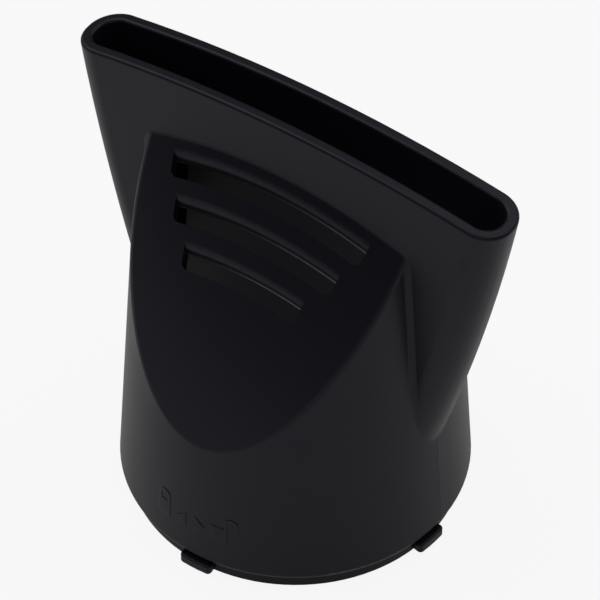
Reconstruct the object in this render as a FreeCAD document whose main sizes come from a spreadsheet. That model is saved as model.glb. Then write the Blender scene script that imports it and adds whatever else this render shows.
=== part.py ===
import FreeCAD, Part
import math
import os

import Sketcher
from FreeCAD import Placement, Rotation, Vector

# Concentrator nozzle of a hair dryer, moulded in one piece. Millimetres, +Z up along the collar's
# axis, X along the mouth, front towards -Y. The nozzle stands on the lower ring of its collar.

SIZES = [
    ("collar_radius", 28.55, "collar wall at its lower edge"),
    ("collar_top_radius", 24.23, "collar cone where it ends inside the blade"),
    ("collar_top", 67.2, "height at which the cone ends"),
    ("roof_rise", 6.0, "rise of the roof over the cone's end, inside the blade"),
    ("collar_edge_round", 1.0, "rounding of the collar's lower edge"),
    ("spigot_radius", 27.2, "ring below the collar that enters the barrel"),
    ("spigot_height", 2.78, "height of that ring"),
    ("spigot_edge_round", 0.2, "rounding of the ring's lower edge"),
    ("spigot_wall", 1.6, "wall of that ring"),
    ("wall", 2.0, "wall of the shell"),
    ("overall_height", 78.1, "middle of the mouth's rim above the lower ring"),
    ("mouth_length", 77.9, "mouth outside, along X"),
    ("rim_arch", 3.5, "drop of the rim from its middle to its ends"),
    ("rim_round", 0.55, "rounding of the rim's edges"),
    ("blade_thickness", 10.4, "blade outside, along Y"),
    ("blade_foot_width", 50.3, "blade at its foot, along X"),
    ("blade_foot_height", 15.75, "foot of the blade, inside the collar's wall"),
    ("blade_edge_radius", 383.0, "arc of the blade's side edges"),
    ("parting_flat", 0.6, "flat left on the round side edges at the mould's parting"),
    ("panel_slope_angle", 62.3, "panel at its middle, degrees from level"),
    ("panel_depth", 17.27, "middle of the panel in front of the axis"),
    ("panel_height", 48.4, "middle of the panel above the lower ring"),
    ("panel_cross_radius", 124.0, "crown of the panel across"),
    ("panel_slope_radius", 209.5, "crown of the panel up its slope"),
    ("panel_edge_round", 1.35, "rounding where the panel meets the collar"),
    ("valley_round", 1.0, "rounding of the valley along the blade"),
    ("slot_width", 3.1, "cooling slots, measured across"),
    ("slot_first", 19.55, "top slot above the panel's middle, along the slope"),
    ("slot_pitch", 7.1, "slot to slot, along the slope"),
    ("slot_arc_radius", 95.0, "arc of the top slot's middle line"),
    ("slot_lean_angle", 60.0, "slot walls, degrees below level going inwards"),
    ("slot_top_length", 35.2, "top slot, end to end"),
    ("slot_mid_length", 29.4, "middle slot, end to end"),
    ("slot_low_length", 21.4, "bottom slot, end to end"),
    ("slot_corner_round", 1.2, "lower corners of the slots"),
    ("slot_lip_round", 2.3, "roll of the slots' upper edges"),
    ("lug_radius", 29.1, "bayonet lugs, outer face"),
    ("lug_span_angle", 11.6, "lug, degrees round the ring"),
    ("lug_floor", 0.6, "underside of the lugs above the lower ring"),
    ("lug_thickness", 1.8, "lug, along Z"),
    ("lug_end_round", 0.7, "rounding of the lugs' outer ends"),
    ("lug_edge_round", 0.3, "rounding of the lugs' upper and lower edges"),
    ("lug_front_angle", 1.4, "middle of the front lug, degrees from the front"),
    ("lug_side_angle", 84.0, "middle of the side lug, degrees from the front"),
    ("clearance", 6.0, "overrun of tools past the faces they cut"),
]

# Degrees that the panel's tool turns about its axis, well past both sides of the collar
PANEL_SWEEP = 60

# Millimetres within which two places count as one, and cosine above which two directions are parallel
NEAR = 0.01
PARALLEL = 0.999

# Inside radius of the lower ring, where the bore starts and the lugs have their root
RING_INSIDE = "(size.spigot_radius - size.spigot_wall)"

doc = FreeCAD.newDocument("concentrator_nozzle")
size = doc.addObject("Spreadsheet::Sheet", "size")
for row, (alias, number, note) in enumerate(SIZES, start=1):
    size.set("A%d" % row, alias)
    size.set("B%d" % row, str(number))
    size.set("C%d" % row, note)
    size.setAlias("B%d" % row, alias)
doc.recompute()


def value(expression):
    """Number that an expression over the sheet has now."""
    return float(size.evalExpression(expression))


def bind(thing, prop, expression):
    """Ties a property to an expression over the sheet."""
    thing.setExpression(prop, expression)


def new_body(name):
    """Empty body with a label of its own."""
    body = doc.addObject("PartDesign::Body", name)
    body.Label = name
    return body


def new_sketch(body, name, role):
    """Sketch on one of the body's own origin planes."""
    sketch = body.newObject("Sketcher::SketchObject", name)
    plane = next(item for item in body.Origin.OriginFeatures if item.Role == role)
    sketch.AttachmentSupport = [(plane, "")]
    sketch.MapMode = "FlatFace"
    return sketch


def fix(sketch, kind, geometry, point, expression):
    """Holds a point's distance from the sketch's origin along one axis."""
    constraint = Sketcher.Constraint(kind, -1, 1, geometry, point, value(expression))
    bind(sketch, "Constraints[%d]" % sketch.addConstraint(constraint), expression)


def arc_between(start, end, radius, turn):
    """Arc from start to end that turns left (1) or right (-1), as a counter-clockwise arc."""
    chord = end - start
    half = chord.Length / 2
    rise = math.sqrt(max(radius * radius - half * half, 0.0))
    left = Vector(-chord.y, chord.x, 0).normalize()
    centre = (start + end) * 0.5 + left * (turn * rise)
    first, last = (start, end) if turn > 0 else (end, start)
    from_angle = math.atan2(first.y - centre.y, first.x - centre.x)
    to_angle = math.atan2(last.y - centre.y, last.x - centre.x)
    if to_angle <= from_angle:
        to_angle += 2 * math.pi
    return Part.ArcOfCircle(Part.Circle(centre, Vector(0, 0, 1), radius), from_angle, to_angle)


def outline(sketch, corners, bends):
    """Closed outline through corners, each a pair of expressions.

    bends maps the number of a side to (radius expression, turn); the other sides are straight.
    """
    points = [Vector(x if isinstance(x, float) else value(x), value(y), 0) for x, y in corners]
    sides = []
    for number, start in enumerate(points):
        end = points[(number + 1) % len(points)]
        if number in bends:
            radius, turn = bends[number]
            geometry = sketch.addGeometry(arc_between(start, end, value(radius), turn), False)
            sides.append((geometry, 1, 2) if turn > 0 else (geometry, 2, 1))
        else:
            geometry = sketch.addGeometry(Part.LineSegment(start, end), False)
            sides.append((geometry, 1, 2))
    for number, (geometry, _, tail) in enumerate(sides):
        following, head, _ = sides[(number + 1) % len(sides)]
        sketch.addConstraint(Sketcher.Constraint("Coincident", geometry, tail, following, head))
    for (geometry, head, _), (x, y) in zip(sides, corners):
        if not isinstance(x, float):
            fix(sketch, "DistanceX", geometry, head, x)
        fix(sketch, "DistanceY", geometry, head, y)
    for number, (radius, _) in bends.items():
        constraint = Sketcher.Constraint("Radius", sides[number][0], value(radius))
        bind(sketch, "Constraints[%d]" % sketch.addConstraint(constraint), radius)
    return sides


def feature(body, kind, name, profile):
    """PartDesign feature on a sketch."""
    item = body.newObject("PartDesign::" + kind, name)
    item.Profile = profile
    return item


def turned(body, name, corners):
    """Solid of revolution about Z of an outline in radius and height."""
    sketch = new_sketch(body, name + "_profile", "XZ_Plane")
    outline(sketch, corners, {})
    item = feature(body, "Revolution", name, sketch)
    item.ReferenceAxis = (sketch, ["V_Axis"])
    item.Angle = 360
    doc.recompute()
    return item


def twice_about_axis(body, name, original):
    """Repeats a feature half a turn round Z."""
    pattern = body.newObject("PartDesign::PolarPattern", name)
    pattern.Originals = [original]
    axis = next(item for item in body.Origin.OriginFeatures if item.Role == "Z_Axis")
    pattern.Axis = (axis, [""])
    pattern.Angle = 360
    pattern.Occurrences = 2
    body.Tip = pattern
    doc.recompute()
    return pattern


def edges_where(shape, test):
    """Names of the shape's edges that pass test(edge, faces that meet in the edge)."""
    names = []
    for number, edge in enumerate(shape.Edges, start=1):
        if test(edge, shape.ancestorsOfType(edge, Part.Face)):
            names.append("Edge%d" % number)
    return names


def round_edges(body, name, base, names, radius):
    """Fillet of the named edges of a feature."""
    item = body.newObject("PartDesign::Fillet", name)
    item.Base = (base, names)
    bind(item, "Radius", radius)
    body.Tip = item
    doc.recompute()
    return item


def join(body, name, kind, tools):
    """Boolean of the body with other bodies."""
    item = body.newObject("PartDesign::Boolean", name)
    item.setObjects(tools)
    item.Type = kind
    body.Tip = item
    doc.recompute()
    return item


def is_panel(face):
    """Whether a face is one of the crowned panels, outside or inside."""
    return face.Surface.TypeId in ("Part::GeomSurfaceOfRevolution", "Part::GeomToroid")


def is_outer_panel(face):
    """Whether a face is the outside of the front or back panel."""
    if not is_panel(face):
        return False
    depth = value("size.panel_depth")
    height = value("size.panel_height")
    middles = (Vector(0, -depth, height), Vector(0, depth, height))
    gaps = [face.Surface.projectPoint(middle, "LowerDistance") for middle in middles]
    return min(gaps) < value("size.wall") / 2


def is_blade_flat(face):
    """Whether a face is one of the blade's two broad flat faces."""
    return face.Surface.TypeId == "Part::GeomPlane" and abs(face.normalAt(0, 0).y) > PARALLEL


def is_cone(face):
    """Whether a face is conical."""
    return face.Surface.TypeId == "Part::GeomCone"


def is_upper_slot_wall(face, place):
    """Whether a face is a slot's upper wall, which is swept along the slots' lean and faces down."""
    if face.Surface.TypeId != "Part::GeomSurfaceOfExtrusion":
        return False
    return face.normalAt(*face.Surface.parameter(place)).z < 0


def is_lug_end(edge):
    """Whether an edge is one of the lugs' outer upright edges."""
    middle = (edge.FirstParameter + edge.LastParameter) / 2
    place = edge.valueAt(middle)
    outside = abs(math.hypot(place.x, place.y) - value("size.lug_radius")) < NEAR
    return outside and abs(edge.tangentAt(middle).z) > PARALLEL


def is_lug_outline(edge):
    """Whether an edge runs round a lug's upper or lower face, other than at its root."""
    place = edge.valueAt((edge.FirstParameter + edge.LastParameter) / 2)
    return edge.BoundBox.ZLength < NEAR and math.hypot(place.x, place.y) > value(RING_INSIDE) + NEAR


def trim_panels(body, name, inset):
    """Cuts the crowned, slanted panel at the front and at the back; inset sets it inwards.

    The profile lies in the panel's own frame: along the slope, and outwards from its middle.
    """
    sketch = new_sketch(body, name + "_profile", "YZ_Plane")
    sketch.AttachmentOffset = Placement(Vector(), Rotation(Vector(0, 0, 1), value("size.panel_slope_angle")))
    bind(sketch, "AttachmentOffset.Base.x", "-size.panel_depth")
    bind(sketch, "AttachmentOffset.Base.y", "size.panel_height")
    bind(sketch, "AttachmentOffset.Rotation.Angle", "size.panel_slope_angle")
    reach = "size.collar_radius + size.clearance"
    radius = "size.panel_slope_radius - %s" % inset
    level = "sqrt((%s)^2 - (%s)^2) - size.panel_slope_radius" % (radius, reach)
    outside = "size.collar_radius"
    outline(
        sketch,
        [("-(%s)" % reach, level), (reach, level), (reach, outside), ("-(%s)" % reach, outside)],
        {0: (radius, -1)},
    )
    depth = -value("size.panel_cross_radius")
    axis = sketch.addGeometry(Part.LineSegment(Vector(-1, depth, 0), Vector(1, depth, 0)), True)
    sketch.addConstraint(Sketcher.Constraint("Horizontal", axis))
    fix(sketch, "DistanceY", axis, 1, "-size.panel_cross_radius")
    cut = feature(body, "Groove", name, sketch)
    cut.ReferenceAxis = (sketch, ["Axis0"])
    cut.Midplane = True
    cut.Angle = PANEL_SWEEP
    doc.recompute()
    return twice_about_axis(body, name + "_both", cut)


def fan_blade(name, inset):
    """Fan-shaped plate with round side edges, running past the rim; inset shrinks it all round.

    Each side is one arc from the foot through the end of the mouth.
    """
    body = new_body(name)
    sketch = new_sketch(body, name + "_outline", "XZ_Plane")
    foot = "size.blade_foot_width / 2 - %s" % inset
    mouth = "size.mouth_length / 2 - %s" % inset
    mouth_end = "size.overall_height - size.rim_arch"
    radius = "size.blade_edge_radius - %s" % inset
    top = "size.overall_height + size.clearance"
    foot_point = Vector(value(foot), value("size.blade_foot_height"), 0)
    mouth_point = Vector(value(mouth), value(mouth_end), 0)
    circle = arc_between(foot_point, mouth_point, value(radius), 1)
    top_x = circle.Center.x + math.sqrt(circle.Radius ** 2 - (value(top) - circle.Center.y) ** 2)
    sides = outline(
        sketch,
        [
            ("-(%s)" % foot, "size.blade_foot_height"),
            (foot, "size.blade_foot_height"),
            (top_x, top),
            (-top_x, top),
        ],
        {1: (radius, 1), 3: (radius, 1)},
    )
    for side, x in ((sides[1], mouth), (sides[3], "-(%s)" % mouth)):
        mark = sketch.addGeometry(Part.Point(Vector(value(x), mouth_point.y, 0)), True)
        fix(sketch, "DistanceX", mark, 1, x)
        fix(sketch, "DistanceY", mark, 1, mouth_end)
        sketch.addConstraint(Sketcher.Constraint("PointOnObject", mark, 1, side[0]))
    pad = feature(body, "Pad", name + "_plate", sketch)
    pad.Midplane = True
    bind(pad, "Length", "size.blade_thickness - 2 * (%s)" % inset)
    doc.recompute()
    arcs = edges_where(pad.Shape, lambda edge, faces: edge.Curve.TypeId == "Part::GeomCircle")
    round_edges(
        body, name + "_round", pad, arcs, "(size.blade_thickness - size.parting_flat) / 2 - %s" % inset
    )
    return body


def air_passage(name):
    """Hollow of the nozzle as a body: the collar's bore, the panels' inner faces and the duct."""
    body = new_body(name)
    turned(body, "bore", [
        ("0", "-size.clearance"),
        (RING_INSIDE, "-size.clearance"),
        (RING_INSIDE, "0"),
        ("size.collar_top_radius - size.wall", "size.collar_top"),
        ("0", "size.collar_top + size.roof_rise"),
    ])
    trim_panels(body, "panel_inside", "size.wall")
    join(body, "bore_and_duct", "Fuse", [fan_blade("duct", "size.wall")])
    return body


def trim_rim(body, name):
    """Cuts the mouth's rim to its arch, through the whole blade, and rounds its edges."""
    sketch = new_sketch(body, name + "_outline", "XZ_Plane")
    reach = "size.mouth_length / 2 + size.clearance"
    arch = "((size.mouth_length / 2)^2 + size.rim_arch^2) / (2 * size.rim_arch)"
    low = "sqrt((%s)^2 - (%s)^2) - (%s) + size.overall_height" % (arch, reach, arch)
    top = "size.overall_height + 2 * size.clearance"
    outline(
        sketch,
        [("-(%s)" % reach, low), (reach, low), (reach, top), ("-(%s)" % reach, top)],
        {0: (arch, -1)},
    )
    cut = feature(body, "Pocket", name, sketch)
    cut.Midplane = True
    bind(cut, "Length", "2 * size.blade_thickness")
    body.Tip = cut
    doc.recompute()
    highest = value("size.overall_height") - value("size.rim_round")
    tops = [face for face in cut.Shape.Faces if face.BoundBox.ZMax > highest and not is_blade_flat(face)]
    rim = max(tops, key=lambda face: face.CenterOfMass.z)
    edges = edges_where(cut.Shape, lambda edge, faces: any(face.isSame(rim) for face in faces))
    return round_edges(body, name + "_round", cut, edges, "size.rim_round")


def cut_slots(body, name):
    """Three curved slots with rolled upper edges through the front panel, and the same at the back."""
    sketch = new_sketch(body, name + "_outline", "XY_Plane")
    sketch.AttachmentOffset = Placement(Vector(), Rotation(Vector(1, 0, 0), value("size.panel_slope_angle")))
    bind(sketch, "AttachmentOffset.Base.y", "-size.panel_depth")
    bind(sketch, "AttachmentOffset.Base.z", "size.panel_height")
    bind(sketch, "AttachmentOffset.Rotation.Angle", "size.panel_slope_angle")
    half = "size.slot_width / 2"
    corner = "size.slot_corner_round"
    middle = "size.slot_first - size.slot_arc_radius"
    for number, length in enumerate(("slot_top_length", "slot_mid_length", "slot_low_length")):
        radius = "(size.slot_arc_radius - %d * size.slot_pitch)" % number
        inner = "(%s - %s)" % (radius, half)
        outer = "(%s + %s)" % (radius, half)
        bend = "(%s + %s)" % (inner, corner)
        end_turn = "asin(size.%s / 2 / %s)" % (length, radius)
        low_turn = "(%s - asin(%s / %s))" % (end_turn, corner, bend)
        stations = [(inner, low_turn), ("sqrt(%s^2 - %s^2)" % (bend, corner), end_turn), (outer, end_turn)]
        right = [("%s * sin(%s)" % at, "%s * cos(%s) + %s" % (*at, middle)) for at in stations]
        left = [("-" + x, y) for x, y in right]
        outline(
            sketch,
            [left[0], *right, left[2], left[1]],
            {0: (inner, -1), 1: (corner, 1), 3: (outer, 1), 5: (corner, 1)},
        )
    cut = feature(body, "Pocket", name, sketch)
    cut.UseCustomVector = True
    bind(cut, "Direction.x", "0")
    bind(cut, "Direction.y", "cos(size.slot_lean_angle)")
    bind(cut, "Direction.z", "-sin(size.slot_lean_angle)")
    cut.AlongSketchNormal = False
    bind(cut, "Length", "size.clearance + size.wall")
    body.Tip = cut
    doc.recompute()
    both = twice_about_axis(body, name + "_both", cut)
    lips = edges_where(
        both.Shape,
        lambda edge, faces: any(is_outer_panel(face) for face in faces)
        and any(is_upper_slot_wall(face, edge.valueAt(edge.FirstParameter)) for face in faces),
    )
    return round_edges(body, name + "_lips", both, lips, "size.slot_lip_round")


def lug(name, angle):
    """Bayonet lug at an angle from the front, rooted in the lower ring's wall.

    Its roundings are limited by the lug's own depth.
    """
    body = new_body(name)
    sketch = new_sketch(body, name + "_outline", "XY_Plane")
    bind(sketch, "AttachmentOffset.Base.z", "size.lug_floor")
    outside = "size.lug_radius"
    corners = []
    for radius, sign in ((RING_INSIDE, "-"), (outside, "-"), (outside, "+"), (RING_INSIDE, "+")):
        turn = "%s - 90 %s size.lug_span_angle / 2" % (angle, sign)
        corners.append(("%s * cos(%s)" % (radius, turn), "%s * sin(%s)" % (radius, turn)))
    outline(sketch, corners, {1: (outside, 1), 3: (RING_INSIDE, -1)})
    pad = feature(body, "Pad", name + "_block", sketch)
    bind(pad, "Length", "size.lug_thickness")
    doc.recompute()
    end_round = "min(size.lug_end_round; (%s - %s) / 2)" % (outside, RING_INSIDE)
    ends = edges_where(pad.Shape, lambda edge, faces: is_lug_end(edge))
    rounded = round_edges(body, name + "_ends", pad, ends, end_round)
    borders = edges_where(rounded.Shape, lambda edge, faces: is_lug_outline(edge))
    round_edges(body, name + "_edges", rounded, borders, "min(size.lug_edge_round; %s / 2)" % end_round)
    return body


def nozzle_shell():
    """The moulded shell: collar, panels and blade as one solid, hollowed, slotted and lugged."""
    body = new_body("nozzle_shell")
    collar = turned(body, "collar", [
        ("0", "0"),
        ("size.spigot_radius", "0"),
        ("size.spigot_radius", "size.spigot_height"),
        ("size.collar_radius", "size.spigot_height"),
        ("size.collar_top_radius", "size.collar_top"),
        ("0", "size.collar_top + size.roof_rise"),
    ])
    ring_edge = edges_where(
        collar.Shape, lambda edge, faces: edge.BoundBox.ZMax < value("size.spigot_height / 2")
    )
    ring = round_edges(body, "ring_edge", collar, ring_edge, "size.spigot_edge_round")
    lower_edge = edges_where(
        ring.Shape,
        lambda edge, faces: any(is_cone(face) for face in faces)
        and edge.BoundBox.ZMax < value("size.spigot_height * 3 / 2"),
    )
    round_edges(body, "collar_edge", ring, lower_edge, "size.collar_edge_round")
    panels = trim_panels(body, "panel", "0")
    outlines = edges_where(
        panels.Shape,
        lambda edge, faces: any(is_cone(face) for face in faces)
        and any(is_panel(face) for face in faces)
        and edge.BoundBox.ZMin < value("size.panel_height"),
    )
    round_edges(body, "panel_edges", panels, outlines, "size.panel_edge_round")
    joined = join(body, "collar_and_blade", "Fuse", [fan_blade("blade", "0")])
    valley = edges_where(
        joined.Shape,
        lambda edge, faces: any(is_blade_flat(face) for face in faces)
        and any(is_cone(face) or is_panel(face) for face in faces),
    )
    round_edges(body, "valleys", joined, valley, "size.valley_round")
    join(body, "hollow", "Cut", [air_passage("air_passage")])
    trim_rim(body, "rim")
    cut_slots(body, "slots")
    lugs = [
        lug("front_lug", "size.lug_front_angle"),
        lug("back_lug", "size.lug_front_angle + 180"),
        lug("right_lug", "size.lug_side_angle"),
        lug("left_lug", "size.lug_side_angle + 180"),
    ]
    join(body, "lugs", "Fuse", lugs)
    return body


def write_parts(parts):
    """Checks the document and the sub-parts, then writes one STEP file for each sub-part."""
    for item in doc.Objects:
        if "Invalid" in item.State or "Error" in item.State:
            raise RuntimeError("%s is %s" % (item.Label, item.State))
    for part in parts:
        if part.Shape.isNull() or not part.Shape.isValid() or len(part.Shape.Solids) != 1:
            raise RuntimeError("%s is not one valid solid" % part.Label)
    os.makedirs("parts", exist_ok=True)
    for part in parts:
        part.Shape.exportStep("parts/%s.step" % part.Label)
        print("%s: %.0f mm3" % (part.Label, part.Shape.Volume))


write_parts([nozzle_shell()])
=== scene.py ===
"""Hair dryer concentrator nozzle: a satin black shell with raised lock signs, on a pale floor."""

from __future__ import annotations

import logging
import math
from dataclasses import dataclass
from enum import Enum

import bpy
import numpy as np
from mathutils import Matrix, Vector


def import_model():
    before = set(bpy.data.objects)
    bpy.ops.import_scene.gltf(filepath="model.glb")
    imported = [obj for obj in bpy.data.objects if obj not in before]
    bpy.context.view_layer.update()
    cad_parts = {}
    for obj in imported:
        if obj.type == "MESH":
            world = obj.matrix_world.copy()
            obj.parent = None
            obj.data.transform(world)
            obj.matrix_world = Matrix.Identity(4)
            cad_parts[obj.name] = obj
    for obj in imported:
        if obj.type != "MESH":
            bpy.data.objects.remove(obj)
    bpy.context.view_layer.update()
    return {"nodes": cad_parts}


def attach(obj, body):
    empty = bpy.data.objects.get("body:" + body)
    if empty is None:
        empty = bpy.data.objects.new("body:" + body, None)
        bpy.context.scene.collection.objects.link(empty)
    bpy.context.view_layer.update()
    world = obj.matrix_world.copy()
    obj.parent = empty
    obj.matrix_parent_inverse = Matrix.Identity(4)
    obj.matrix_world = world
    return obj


LOG = logging.getLogger("nozzle")
MM = 0.001
WHITE = (1.0, 1.0, 1.0, 1.0)


class Seen(Enum):
    """Kinds of ray that see a stage surface as plain white."""

    CAMERA = "Is Camera Ray"
    GLOSSY = "Is Glossy Ray"
    TRANSMISSION = "Is Transmission Ray"


class Arrow(Enum):
    """Way that an arrow sign points round the collar."""

    LEFT = -1
    RIGHT = 1


def add_math(
    tree: bpy.types.NodeTree, operation: str, *values: bpy.types.NodeSocket | float
) -> bpy.types.NodeSocket:
    """Adds a Math node.

    Args:
        tree: Node tree that it goes into.
        operation: Blender's name of the operation.
        values: A socket or a plain number for each input, in order.

    Returns:
        Socket with the result.
    """
    node = tree.nodes.new("ShaderNodeMath")
    node.operation = operation
    for socket, value in zip(node.inputs, values):
        if isinstance(value, bpy.types.NodeSocket):
            tree.links.new(value, socket)
        else:
            socket.default_value = value
    return node.outputs["Value"]


def add_noise(
    tree: bpy.types.NodeTree, place: bpy.types.NodeSocket, size: float, detail: float
) -> bpy.types.NodeSocket:
    """Adds a noise over the surface.

    Args:
        tree: Node tree of the material.
        place: Socket with the Object coordinates.
        size: Size of its patches in metres.
        detail: Number of finer layers on top of the patches.

    Returns:
        Socket with the noise, about 0 to 1.
    """
    noise = tree.nodes.new("ShaderNodeTexNoise")
    noise.inputs["Scale"].default_value = 1.0 / size
    noise.inputs["Detail"].default_value = detail
    tree.links.new(place, noise.inputs["Vector"])
    return noise.outputs["Fac"]


def add_bump(
    tree: bpy.types.NodeTree, height: bpy.types.NodeSocket, depth: float
) -> bpy.types.ShaderNodeBump:
    """Adds a bump at full strength.

    Args:
        tree: Node tree of the material.
        height: Socket with the height, 0 to 1.
        depth: Depth in metres that a height of 1 stands for.

    Returns:
        The Bump node.
    """
    bump = tree.nodes.new("ShaderNodeBump")
    bump.inputs["Strength"].default_value = 1.0
    bump.inputs["Distance"].default_value = depth
    tree.links.new(height, bump.inputs["Height"])
    return bump


@dataclass(frozen=True)
class SatinPlastic:
    """Black plastic with a textured mould's fine, even grain and the line of the mould's parting.

    Attributes:
        name: Name of the material.
        colour: Colour of the plastic.
        sheen_tint: Tint of what its surface mirrors head-on.
        roughness: Mean roughness.
        roughness_drift: How far the roughness drifts to either side of its mean.
        drift_size: Size in metres of the patches in which it drifts.
        drift_detail: Finer layers in that drift.
        specular: Specular level of the plastic's surface.
        grain_size: Size of the mould's grain in metres.
        grain_detail: Finer layers in the grain.
        grain_depth: Depth of the grain in metres.
        parting_half: Half the width in metres of the ridge that the mould's parting leaves.
        parting_rise: Height of that ridge in metres.
    """

    name: str
    colour: tuple[float, float, float] = (0.0072, 0.0069, 0.0118)
    sheen_tint: tuple[float, float, float] = (0.88, 0.86, 1.0)
    roughness: float = 0.37
    roughness_drift: float = 0.02
    drift_size: float = 15.0 * MM
    drift_detail: float = 1.0
    specular: float = 0.275
    grain_size: float = 0.35 * MM
    grain_detail: float = 2.0
    grain_depth: float = 0.004 * MM
    parting_half: float = 0.15 * MM
    parting_rise: float = 0.012 * MM

    def drift(
        self, tree: bpy.types.NodeTree, place: bpy.types.NodeSocket
    ) -> bpy.types.NodeSocket:
        """Adds the slow drift of the roughness over the surface.

        Args:
            tree: Node tree of the material.
            place: Socket with the Object coordinates.

        Returns:
            Socket with the roughness.
        """
        patches = add_noise(tree, place, self.drift_size, self.drift_detail)
        spread = tree.nodes.new("ShaderNodeMapRange")
        spread.inputs["To Min"].default_value = self.roughness - self.roughness_drift
        spread.inputs["To Max"].default_value = self.roughness + self.roughness_drift
        tree.links.new(patches, spread.inputs["Value"])
        return spread.outputs["Result"]

    def grain(
        self, tree: bpy.types.NodeTree, place: bpy.types.NodeSocket
    ) -> bpy.types.NodeSocket:
        """Adds the mould's grain.

        Args:
            tree: Node tree of the material.
            place: Socket with the Object coordinates.

        Returns:
            Socket with the normal of the grained surface.
        """
        grain = add_noise(tree, place, self.grain_size, self.grain_detail)
        return add_bump(tree, grain, self.grain_depth).outputs["Normal"]

    def parting_line(
        self,
        tree: bpy.types.NodeTree,
        place: bpy.types.NodeSocket,
        normal: bpy.types.NodeSocket,
    ) -> bpy.types.NodeSocket:
        """Adds the fine ridge along the mould's parting, the plane Y = 0.

        Its height falls evenly from the parting to nothing over the half width on either side.

        Args:
            tree: Node tree of the material.
            place: Socket with the Object coordinates.
            normal: Socket with the surface's normal so far.

        Returns:
            Socket with the normal of the ridged surface.
        """
        axes = tree.nodes.new("ShaderNodeSeparateXYZ")
        tree.links.new(place, axes.inputs["Vector"])
        distance = add_math(tree, "ABSOLUTE", axes.outputs["Y"])
        ridge = tree.nodes.new("ShaderNodeMapRange")
        ridge.inputs["From Max"].default_value = self.parting_half
        ridge.inputs["To Min"].default_value = 1.0
        ridge.inputs["To Max"].default_value = 0.0
        tree.links.new(distance, ridge.inputs["Value"])
        bump = add_bump(tree, ridge.outputs["Result"], self.parting_rise)
        tree.links.new(normal, bump.inputs["Normal"])
        return bump.outputs["Normal"]

    def build(self) -> bpy.types.Material:
        """Builds the material.

        Returns:
            The plastic with its grain and its parting line, on Object coordinates.
        """
        material = bpy.data.materials.new(self.name)
        material.use_nodes = True
        tree = material.node_tree
        shader = tree.nodes["Principled BSDF"]
        shader.inputs["Base Color"].default_value = (*self.colour, 1.0)
        shader.inputs["Specular IOR Level"].default_value = self.specular
        shader.inputs["Specular Tint"].default_value = (*self.sheen_tint, 1.0)
        place = tree.nodes.new("ShaderNodeTexCoord").outputs["Object"]
        tree.links.new(self.drift(tree, place), shader.inputs["Roughness"])
        normal = self.parting_line(tree, place, self.grain(tree, place))
        tree.links.new(normal, shader.inputs["Normal"])
        return material


@dataclass(frozen=True)
class CollarCone:
    """Outside of the collar as a cone, the surface that the signs stand on.

    Attributes:
        foot_radius: Radius at the collar's lower edge.
        foot_height: Height of that edge.
        taper: Fall of the radius for each unit of height.
    """

    foot_radius: float = 28.55 * MM
    foot_height: float = 2.78 * MM
    taper: float = 0.06706

    def place(self, turn: np.ndarray, height: np.ndarray, rise: np.ndarray) -> np.ndarray:
        """Puts points on or above the cone.

        With R(z) the cone's radius and e its slope, the point is
        ((R + h cos e) sin t, -(R + h cos e) cos t, z + h sin e).

        Args:
            turn: Angle t from the front towards +X, in degrees.
            height: Height z on the cone.
            rise: Distance h off the cone, outwards.

        Returns:
            Points with X, Y and Z on the last axis.
        """
        slope = math.atan(self.taper)
        radius = self.foot_radius - self.taper * (height - self.foot_height)
        radius = radius + rise * math.cos(slope)
        angle = np.radians(turn)
        level = height + rise * math.sin(slope)
        return np.stack([radius * np.sin(angle), -radius * np.cos(angle), level], axis=-1)

    def degrees(self, width: np.ndarray) -> np.ndarray:
        """Angle round the collar's foot that a width takes, in degrees."""
        return np.degrees(width / self.foot_radius)


def add_mesh(
    name: str, points: np.ndarray, faces: list[tuple[int, ...]]
) -> bpy.types.Object:
    """Makes a smooth-shaded mesh object at the origin.

    Args:
        name: Name of the piece.
        points: Vertices, one a row.
        faces: Vertex numbers of each face, outward.

    Returns:
        The object, linked into the scene.
    """
    mesh = bpy.data.meshes.new(name)
    mesh.from_pydata(points.tolist(), [], faces)
    mesh.shade_smooth()
    mesh.update()
    piece = bpy.data.objects.new(name, mesh)
    bpy.context.scene.collection.objects.link(piece)
    return piece


def tube_faces(rings: int, around: int) -> list[tuple[int, ...]]:
    """Quads between rings of points, and a fan from each end ring to its own middle point.

    Args:
        rings: Number of rings.
        around: Points in each ring.

    Returns:
        Faces over rings * around points, followed by the first and the last ring's middle point.
    """
    row, column = np.meshgrid(np.arange(rings - 1), np.arange(around), indexing="ij")
    here = row * around + column
    beside = row * around + (column + 1) % around
    quads = np.stack([here, beside, beside + around, here + around], axis=-1).reshape(-1, 4)
    step = np.arange(around)
    following = (step + 1) % around
    first_middle = np.full(around, rings * around)
    fan_first = np.stack([following, step, first_middle], axis=-1)
    last = (rings - 1) * around
    fan_last = np.stack([last + step, last + following, first_middle + 1], axis=-1)
    return [tuple(face) for face in [*quads.tolist(), *fan_first.tolist(), *fan_last.tolist()]]


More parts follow.
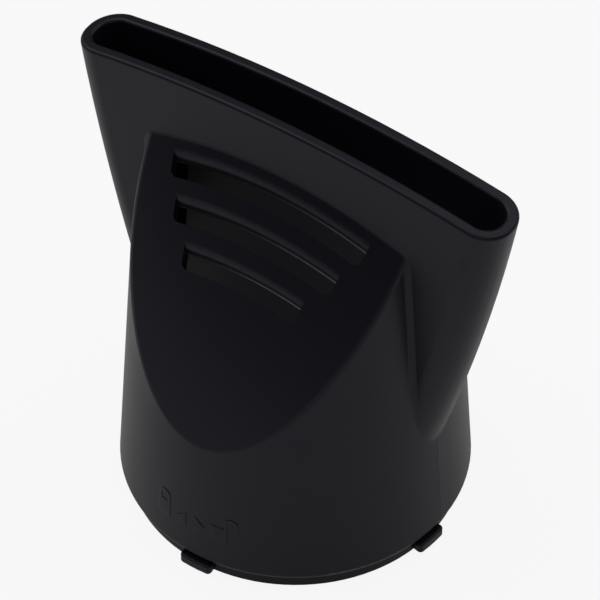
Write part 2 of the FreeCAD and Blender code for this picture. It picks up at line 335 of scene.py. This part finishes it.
@dataclass(frozen=True)
class LockSigns:
    """Raised lock signs and arrows low on the collar's front.

    Turns are degrees from the front towards +X, and heights are above the floor.

    Attributes:
        cone: Surface that they stand on.
        rise: Height of their flat tops above the collar.
        sink: Depth of their hidden foot below the collar's surface.
        flank: Width of the sloping flanks.
        flank_out: How far each ring lies outside the outline, in flank widths, from the foot up.
        flank_up: Height of each ring after the sunk one, in rises, up to the top's inner ring.
        top_scale: Size of the innermost ring on the flat top against the outline.
        side_points: Points along each side of an outline.
        body_width: Width of a padlock's body.
        body_height: Height of a padlock's body.
        bow_width: Width of a padlock's bow between its middle lines.
        bow_height: Height of the bow's middle line above the body.
        bow_half: Half the thickness of the bow.
        bow_out: Place of each point of the bow's profile across it, in half thicknesses.
        bow_up: Height of these points in rises, without the sunk first and last one.
        leg_points: Points along each leg of the bow.
        arch_points: Points along its half circle.
        arrow_width: Length of an arrow along the collar.
        arrow_height: Height of an arrow.
        closed_turn: Turn of the closed padlock.
        closed_body: Height of its body's middle.
        closed_bow: Height at which its bow starts.
        left_arrow_turn: Turn of the arrow towards the closed padlock.
        left_arrow_middle: Height of its middle.
        right_arrow_turn: Turn of the arrow towards the open padlock.
        right_arrow_middle: Height of its middle.
        open_turn: Turn of the open padlock's body.
        open_body: Height of that body's middle.
        open_bow_turn: Turn of the open padlock's bow, which is swung out to the side.
        open_bow: Height at which that bow starts.
        open_bow_short: Length by which its free leg is shorter.
    """

    cone: CollarCone
    rise: float = 0.08 * MM
    sink: float = 0.12 * MM
    flank: float = 0.24 * MM
    flank_out: tuple[float, ...] = (0.5, 0.5, 0.1, -0.3, -0.9)
    flank_up: tuple[float, ...] = (0.0, 0.75, 0.97, 1.0, 1.0)
    top_scale: float = 0.5
    side_points: int = 24
    body_width: float = 2.75 * MM
    body_height: float = 3.0 * MM
    bow_width: float = 2.0 * MM
    bow_height: float = 2.2 * MM
    bow_half: float = 0.27 * MM
    bow_out: tuple[float, ...] = (1.3, 1.2, 0.75, 0.0, -0.75, -1.2, -1.3)
    bow_up: tuple[float, ...] = (0.0, 1.0, 1.0, 1.0, 0.0)
    leg_points: int = 6
    arch_points: int = 17
    arrow_width: float = 1.85 * MM
    arrow_height: float = 3.0 * MM
    closed_turn: float = -12.3
    closed_body: float = 10.03 * MM
    closed_bow: float = 11.35 * MM
    left_arrow_turn: float = -4.1
    left_arrow_middle: float = 10.1 * MM
    right_arrow_turn: float = 1.95
    right_arrow_middle: float = 10.25 * MM
    open_turn: float = 9.7
    open_body: float = 10.23 * MM
    open_bow_turn: float = 14.0
    open_bow: float = 11.7 * MM
    open_bow_short: float = 0.6 * MM

    def raised(
        self, name: str, turn: float, height: float, corners: np.ndarray
    ) -> bpy.types.Object:
        """A flat-topped raised shape with sloping flanks.

        The rim runs evenly round the polygon; each ring is the rim scaled about the middle of its
        corners, at its own rise off the cone, from the sunk foot over the flank to the flat top.

        Args:
            name: Name of the piece.
            turn: Angle of the shape's middle round the collar, in degrees.
            height: Height of the shape's middle.
            corners: Corners about the middle, along the collar and up, counter-clockwise as seen
                from outside.

        Returns:
            The piece.
        """
        count = len(corners)
        steps = np.linspace(0.0, count, self.side_points * count, endpoint=False)
        side = steps.astype(int)
        part = (steps - side)[:, None]
        rim = corners[side] * (1.0 - part) + corners[(side + 1) % count] * part
        growth = 1.0 + self.flank * np.array(self.flank_out) / np.abs(corners).max()
        growth = np.append(growth, self.top_scale)
        rise = np.append(-self.sink, self.rise * np.array(self.flank_up))
        spread = rim * growth[:, None, None]
        turns = turn + self.cone.degrees(spread[..., 0])
        rings = self.cone.place(turns, height + spread[..., 1], rise[:, None])
        middles = self.cone.place(np.full(2, turn), np.full(2, height), rise[[0, -1]])
        points = np.concatenate([rings.reshape(-1, 3), middles])
        return add_mesh(name, points, tube_faces(len(rise), len(rim)))

    def bow(self, name: str, turn: float, foot: float, short_end: float) -> bpy.types.Object:
        """A padlock's bow: a low, flat-topped ridge carried along an arch.

        The path goes up one leg, round a half circle and down the other leg; the profile stands on
        the cone, across the path and off the surface.

        Args:
            name: Name of the piece.
            turn: Angle of the bow's middle round the collar, in degrees.
            foot: Height at which its left leg ends.
            short_end: Length by which the right leg is shorter than the left.

        Returns:
            The piece.
        """
        half = self.bow_width / 2
        leg = self.bow_height - half
        climb = np.linspace(0.0, leg, self.leg_points, endpoint=False)
        bend = np.linspace(np.pi, 0.0, self.arch_points)
        fall = np.linspace(leg, short_end, self.leg_points + 1)[1:]
        left = np.stack([np.full_like(climb, -half), climb], axis=-1)
        arch = np.stack([half * np.cos(bend), leg + half * np.sin(bend)], axis=-1)
        right = np.stack([np.full_like(fall, half), fall], axis=-1)
        path = np.concatenate([left, arch, right])
        along = np.gradient(path, axis=0)
        along /= np.linalg.norm(along, axis=1, keepdims=True)
        across = np.stack([along[:, 1], -along[:, 0]], axis=-1)
        offset = self.bow_half * np.array(self.bow_out)
        rise = np.array([-self.sink, *(self.rise * np.array(self.bow_up)), -self.sink])
        spread = path[:, None, :] + across[:, None, :] * offset[None, :, None]
        turns = turn + self.cone.degrees(spread[..., 0])
        rings = self.cone.place(turns, foot + spread[..., 1], rise[None, :])
        points = np.concatenate([rings.reshape(-1, 3), rings[[0, -1]].mean(axis=1)])
        return add_mesh(name, points, tube_faces(len(path), len(offset)))

    def padlock_body(self, name: str, turn: float, height: float) -> bpy.types.Object:
        """The raised rectangle of a padlock's body."""
        half = np.array([self.body_width, self.body_height]) / 2
        corners = np.array([(-1, -1), (1, -1), (1, 1), (-1, 1)]) * half
        return self.raised(name, turn, height, corners)

    def arrow(self, name: str, turn: float, height: float, way: Arrow) -> bpy.types.Object:
        """A raised arrow head, a triangle about its centroid that points one way.

        Args:
            name: Name of the piece.
            turn: Angle of its centroid round the collar, in degrees.
            height: Height of its centroid.
            way: Way that it points.

        Returns:
            The piece.
        """
        tip = way.value * self.arrow_width * 2 / 3
        back = -way.value * self.arrow_width / 3
        up = way.value * self.arrow_height / 2
        corners = np.array([(tip, 0.0), (back, up), (back, -up)])
        return self.raised(name, turn, height, corners)

    def build(self) -> list[bpy.types.Object]:
        """Builds the signs in their order round the collar.

        Returns:
            The raised pieces.
        """
        return [
            self.padlock_body("closed_lock_body", self.closed_turn, self.closed_body),
            self.bow("closed_lock_bow", self.closed_turn, self.closed_bow, 0.0),
            self.arrow(
                "arrow_to_closed", self.left_arrow_turn, self.left_arrow_middle, Arrow.LEFT
            ),
            self.arrow(
                "arrow_to_open", self.right_arrow_turn, self.right_arrow_middle, Arrow.RIGHT
            ),
            self.padlock_body("open_lock_body", self.open_turn, self.open_body),
            self.bow("open_lock_bow", self.open_bow_turn, self.open_bow, self.open_bow_short),
        ]


def outward(azimuth: float, elevation: float) -> Vector:
    """Direction from the nozzle towards a place round it.

    With azimuth a and elevation e it is (sin a cos e, -cos a cos e, sin e).

    Args:
        azimuth: Angle round from the front towards +X, in degrees.
        elevation: Angle above level, in degrees.

    Returns:
        The direction, of length 1.
    """
    turn, lift = math.radians(azimuth), math.radians(elevation)
    level = math.cos(lift)
    return Vector((math.sin(turn) * level, -math.cos(turn) * level, math.sin(lift)))


def set_up(item: bpy.types.Object, place: Vector, direction: Vector) -> None:
    """Links a camera or a lamp into the scene, at a place and facing against a direction.

    Args:
        item: Camera or lamp.
        place: Where it stands.
        direction: Direction from the nozzle towards it.
    """
    bpy.context.scene.collection.objects.link(item)
    item.location = place
    item.rotation_mode = "QUATERNION"
    item.rotation_quaternion = (-direction).to_track_quat("-Z", "Y")


@dataclass(frozen=True)
class PhotoCamera:
    """Camera at the photograph's viewing angle.

    Attributes:
        azimuth: Angle round from the front towards +X, in degrees.
        elevation: Angle above level, in degrees.
        eye: Place of the lens in metres.
        lens: Focal length in millimetres.
        frame_side: Side of the square frame behind the lens, in millimetres.
        nearest: Distance in metres at which its view starts.
        farthest: Distance in metres at which its view ends.
    """

    azimuth: float = 35.066
    elevation: float = 45.766
    eye: tuple[float, float, float] = (0.25451, -0.36133, 0.49083)
    lens: float = 242.95
    frame_side: float = 36.0
    nearest: float = 0.01
    farthest: float = 50.0

    def build(self) -> bpy.types.Object:
        """Makes the camera and gives it to the scene.

        Returns:
            The camera object.
        """
        data = bpy.data.cameras.new("photo_camera")
        data.lens = self.lens
        data.sensor_width = self.frame_side
        data.clip_start = self.nearest
        data.clip_end = self.farthest
        camera = bpy.data.objects.new("photo_camera", data)
        set_up(camera, Vector(self.eye), outward(self.azimuth, self.elevation))
        bpy.context.scene.camera = camera
        return camera


@dataclass(frozen=True)
class Softbox:
    """Square soft light that faces the nozzle.

    Attributes:
        name: Name of the lamp.
        azimuth: Angle round from the front towards +X, in degrees.
        elevation: Angle above level, in degrees.
        power: Power in watts.
        side: Length of its sides in metres.
        distance: Distance from the nozzle in metres.
    """

    name: str
    azimuth: float
    elevation: float
    power: float
    side: float = 1.6
    distance: float = 1.6

    def build(self, target: Vector) -> bpy.types.Object:
        """Makes the lamp.

        Args:
            target: Point that it faces.

        Returns:
            The lamp object.
        """
        data = bpy.data.lights.new(self.name, "AREA")
        data.shape = "SQUARE"
        data.size = self.side
        data.energy = self.power
        lamp = bpy.data.objects.new(self.name, data)
        direction = outward(self.azimuth, self.elevation)
        set_up(lamp, target + direction * self.distance, direction)
        return lamp


@dataclass(frozen=True)
class Studio:
    """Pale floor, white surroundings and soft lights.

    Attributes:
        floor_side: Length of the floor's sides in metres.
        floor_gap: Gap in metres that keeps the floor off the nozzle's lower face.
        floor_colour: Grey level of the floor.
        floor_roughness: Roughness of the floor.
        camera_white: Share of plain white in what the camera sees of the floor.
        mirrored_white: Share of plain white in what gloss and glass show of the floor.
        room_light: Strength of the even light from all around.
        aim_height: Height in metres of the point on the nozzle's axis that the lamps face.
        softboxes: The lamps.
    """

    floor_side: float = 12.0
    floor_gap: float = 0.05 * MM
    floor_colour: float = 0.75
    floor_roughness: float = 0.9
    camera_white: float = 0.9
    mirrored_white: float = 0.24
    room_light: float = 0.05
    aim_height: float = 35.0 * MM
    softboxes: tuple[Softbox, ...] = (
        Softbox("overhead_light", azimuth=-145.0, elevation=78.0, power=3.0, side=1.8),
        Softbox("left_light", azimuth=-85.0, elevation=50.0, power=9.6),
        Softbox("right_light", azimuth=155.0, elevation=50.0, power=6.2),
        Softbox("front_light", azimuth=35.0, elevation=50.0, power=2.8),
    )

    def show_white(
        self,
        tree: bpy.types.NodeTree,
        plain: bpy.types.NodeSocket,
        white: bpy.types.NodeSocket,
        shares: dict[Seen, float],
    ) -> bpy.types.NodeSocket:
        """Mixes plain white into a stage surface by the kind of ray that sees it.

        The share of white is the largest of each kind's own share times 1 for its rays and 0 for
        others.

        Args:
            tree: Node tree of the floor's material or of the world.
            plain: Shader socket of the surface as it is.
            white: Shader socket of the white.
            shares: Share of white by kind of ray.

        Returns:
            Shader socket of the mix.
        """
        path = tree.nodes.new("ShaderNodeLightPath")
        largest, *others = (
            add_math(tree, "MULTIPLY", path.outputs[kind.value], share)
            for kind, share in shares.items()
        )
        for other in others:
            largest = add_math(tree, "MAXIMUM", largest, other)
        mix = tree.nodes.new("ShaderNodeMixShader")
        tree.links.new(largest, mix.inputs["Fac"])
        tree.links.new(plain, mix.inputs[1])
        tree.links.new(white, mix.inputs[2])
        return mix.outputs["Shader"]

    def floor(self) -> bpy.types.Object:
        """Makes the pale floor, which shows the camera mostly white and keeps the nozzle's shadow.

        Returns:
            The floor.
        """
        half, level = self.floor_side / 2, -self.floor_gap
        corners = np.array([(-half, -half), (half, -half), (half, half), (-half, half)])
        points = np.column_stack([corners, np.full(len(corners), level)])
        floor = add_mesh("floor", points, [(0, 1, 2, 3)])
        material = bpy.data.materials.new("pale_floor")
        material.use_nodes = True
        tree = material.node_tree
        shader = tree.nodes["Principled BSDF"]
        shader.inputs["Base Color"].default_value = (*[self.floor_colour] * 3, 1.0)
        shader.inputs["Roughness"].default_value = self.floor_roughness
        shader.inputs["Specular IOR Level"].default_value = 0.0
        white = tree.nodes.new("ShaderNodeEmission")
        shares = {
            Seen.CAMERA: self.camera_white,
            Seen.GLOSSY: self.mirrored_white,
            Seen.TRANSMISSION: self.mirrored_white,
        }
        seen = self.show_white(tree, shader.outputs["BSDF"], white.outputs["Emission"], shares)
        tree.links.new(seen, tree.nodes["Material Output"].inputs["Surface"])
        floor.data.materials.append(material)
        return floor

    def room(self) -> bpy.types.World:
        """Makes the surroundings: white where the camera sees them, soft light for all else.

        Returns:
            The world.
        """
        world = bpy.data.worlds.new("white_room")
        bpy.context.scene.world = world
        world.use_nodes = True
        tree = world.node_tree
        light = tree.nodes["Background"]
        light.inputs["Color"].default_value = WHITE
        light.inputs["Strength"].default_value = self.room_light
        white = tree.nodes.new("ShaderNodeBackground")
        white.inputs["Color"].default_value = WHITE
        seen = self.show_white(
            tree, light.outputs["Background"], white.outputs["Background"], {Seen.CAMERA: 1.0}
        )
        tree.links.new(seen, tree.nodes["World Output"].inputs["Surface"])
        return world

    def build(self) -> None:
        """Makes the floor, the surroundings and the lamps, and sets the plain view transform."""
        self.floor()
        self.room()
        for softbox in self.softboxes:
            softbox.build(Vector((0.0, 0.0, self.aim_height)))
        bpy.context.scene.view_settings.view_transform = "Standard"


@dataclass(frozen=True)
class Nozzle:
    """The dressed nozzle: the moulded shell and its raised signs.

    Attributes:
        node: Name of the shell's node.
        slot: Name of the record's material slot; not used.
        plastic: Finish of the shell and signs.
        signs: The raised signs.
    """

    node: str
    slot: str
    plastic: SatinPlastic
    signs: LockSigns

    def dress_shell(self, shell: bpy.types.Object) -> bpy.types.Object:
        """Gives the shell its plastic.

        Args:
            shell: The shell's object from the frame.

        Returns:
            The same object.
        """
        shell.data.materials.clear()
        shell.data.materials.append(self.plastic.build())
        return shell

    def build(self, nodes: dict[str, bpy.types.Object]) -> list[bpy.types.Object]:
        """Dresses the shell and adds the signs, attached to the root body.

        Args:
            nodes: The frame's nodes by name.

        Returns:
            The shell and the signs.
        """
        shell = self.dress_shell(nodes[self.node])
        signs = self.signs.build()
        for sign in signs:
            sign.data.materials.append(shell.data.materials[0])
            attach(sign, "root")
        return [shell, *signs]


def main() -> None:
    """Builds the nozzle and its studio."""
    logging.basicConfig(level=logging.INFO, format="%(name)s: %(message)s")
    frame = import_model()
    nozzle = Nozzle(
        node="nozzle_shell",
        slot="shell",
        plastic=SatinPlastic("black_satin_plastic"),
        signs=LockSigns(CollarCone()),
    )
    for piece in nozzle.build(frame["nodes"]):
        LOG.info("%s: %d faces", piece.name, len(piece.data.polygons))
    Studio().build()
    PhotoCamera().build()


if __name__ == "__main__":
    main()
